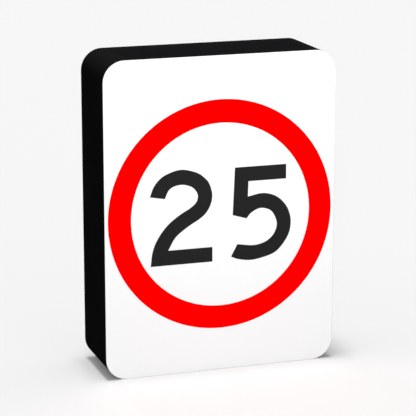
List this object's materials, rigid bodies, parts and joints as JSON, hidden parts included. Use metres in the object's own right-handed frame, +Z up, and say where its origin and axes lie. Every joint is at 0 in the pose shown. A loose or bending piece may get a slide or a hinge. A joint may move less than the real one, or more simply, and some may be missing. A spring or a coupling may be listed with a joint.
{
  "type": "solar speed sign",
  "caption": "Self-contained lit speed-limit sign box with a flat white face, red ring and numerals, a solar module in its top, a rear service door and slotted rails for mounting.",
  "frame": {"origin": "middle of the bottom of the box, on the surface it stands on", "axes": "+X to the right seen from the front, +Y to the rear (the face looks along -Y), +Z up"},
  "size_m": [0.6, 0.2, 0.8],
  "materials": {
    "black_coat": "matt black powder coat on aluminium, fine texture",
    "white_face": "smooth white opal polycarbonate sheet",
    "red_film": "smooth red film",
    "black_film": "smooth black film",
    "white_coat": "white coated sheet",
    "bare_aluminium": "satin mill finish",
    "zinc_steel": "zinc plated",
    "black_rubber": "closed-cell foam and rubber",
    "solar_glass": "dark cells under a clear textured front sheet",
    "grey_plastic": "fine moulded texture",
    "black_plastic": "fine moulded texture",
    "blue_plastic": "moulded",
    "red_plastic": "gloss",
    "green_plastic": "gloss",
    "brass": "tinned brass",
    "red_cable": "smooth cable sheath",
    "black_cable": "smooth cable sheath"
  },
  "bodies": {
    "housing": {"battery_case": "blue_plastic", "battery_lead_minus": "black_cable", "battery_lead_plus": "red_cable", "battery_shelf": "zinc_steel", "battery_strap": "black_rubber", "battery_terminal_minus": "brass", "battery_terminal_plus": "brass", "breather_vent": "black_plastic", "button_spring": "zinc_steel", "charge_controller": "grey_plastic", "equipment_plate": "bare_aluminium", "face_gasket": "black_rubber", "face_panel": "white_face", "fuse_holder": "black_plastic", "hinge_lower_frame_leaf": "zinc_steel", "hinge_lower_pin": "zinc_steel", "hinge_upper_frame_leaf": "zinc_steel", "hinge_upper_pin": "zinc_steel", "housing_band": "black_coat", "led_bar_1": "white_coat", "led_bar_2": "white_coat", "led_bar_3": "white_coat", "led_bar_4": "white_coat", "led_bar_5": "white_coat", "led_bar_6": "white_coat", "led_driver": "white_coat", "led_feed_cable": "black_cable", "light_tray": "white_coat", "mount_rail_lower": "bare_aluminium", "mount_rail_upper": "bare_aluminium", "numeral_five_film": "black_film", "numeral_two_film": "black_film", "panel_gasket": "black_rubber", "rear_panel": "black_coat", "ring_film": "red_film", "rocker_body": "black_plastic", "solar_carrier": "bare_aluminium", "solar_gasket": "black_rubber", "solar_junction_box": "black_plastic", "solar_laminate": "solar_glass", "solar_lead": "black_cable", "switch_bracket": "bare_aluminium", "terminal_block": "black_plastic", "test_button_bush": "bare_aluminium", "vent_nut": "black_plastic"},
    "door": {"rear_door": "black_coat", "door_gasket": "black_rubber", "hinge_upper_door_leaf": "zinc_steel", "hinge_lower_door_leaf": "zinc_steel", "lock_upper_body": "zinc_steel", "lock_upper_nut": "zinc_steel", "lock_lower_body": "zinc_steel", "lock_lower_nut": "zinc_steel"},
    "lock_upper": {"lock_upper_rotor": "zinc_steel", "lock_upper_cam": "zinc_steel"},
    "lock_lower": {"lock_lower_rotor": "zinc_steel", "lock_lower_cam": "zinc_steel"},
    "rocker_switch": {"rocker": "red_plastic"},
    "push_button": {"test_button": "green_plastic"},
    "fuse_carrier": {"fuse_cap": "black_plastic"}
  },
  "joints": [
    {"name": "door_swing", "type": "hinge", "parent": "housing", "child": "door", "pos_m": [0.2065, 0.089, 0.4], "axis": [0, 0, -1], "range_deg": [0, 110]},
    {"name": "lock_upper_turn", "type": "hinge", "parent": "door", "child": "lock_upper", "pos_m": [-0.158, 0.0917, 0.53], "axis": [0, 1, 0], "range_deg": [0, 90]},
    {"name": "lock_lower_turn", "type": "hinge", "parent": "door", "child": "lock_lower", "pos_m": [-0.158, 0.0917, 0.27], "axis": [0, 1, 0], "range_deg": [0, 90]},
    {"name": "rocker_tilt", "type": "hinge", "parent": "housing", "child": "rocker_switch", "pos_m": [0.108, 0.0292, 0.355], "axis": [-1, 0, 0], "range_deg": [0, 20]},
    {"name": "test_button_press", "type": "slide", "parent": "housing", "child": "push_button", "axis": [0, -1, 0], "range_m": [0, 0.003], "stiffness_N_per_m": 300, "springref_m": -0.002, "deforming": ["button_spring"]},
    {"name": "fuse_cap_turn", "type": "hinge", "parent": "housing", "child": "fuse_carrier", "pos_m": [0.108, 0.041, 0.268], "axis": [0, 1, 0], "range_deg": [0, 60]}
  ]
}
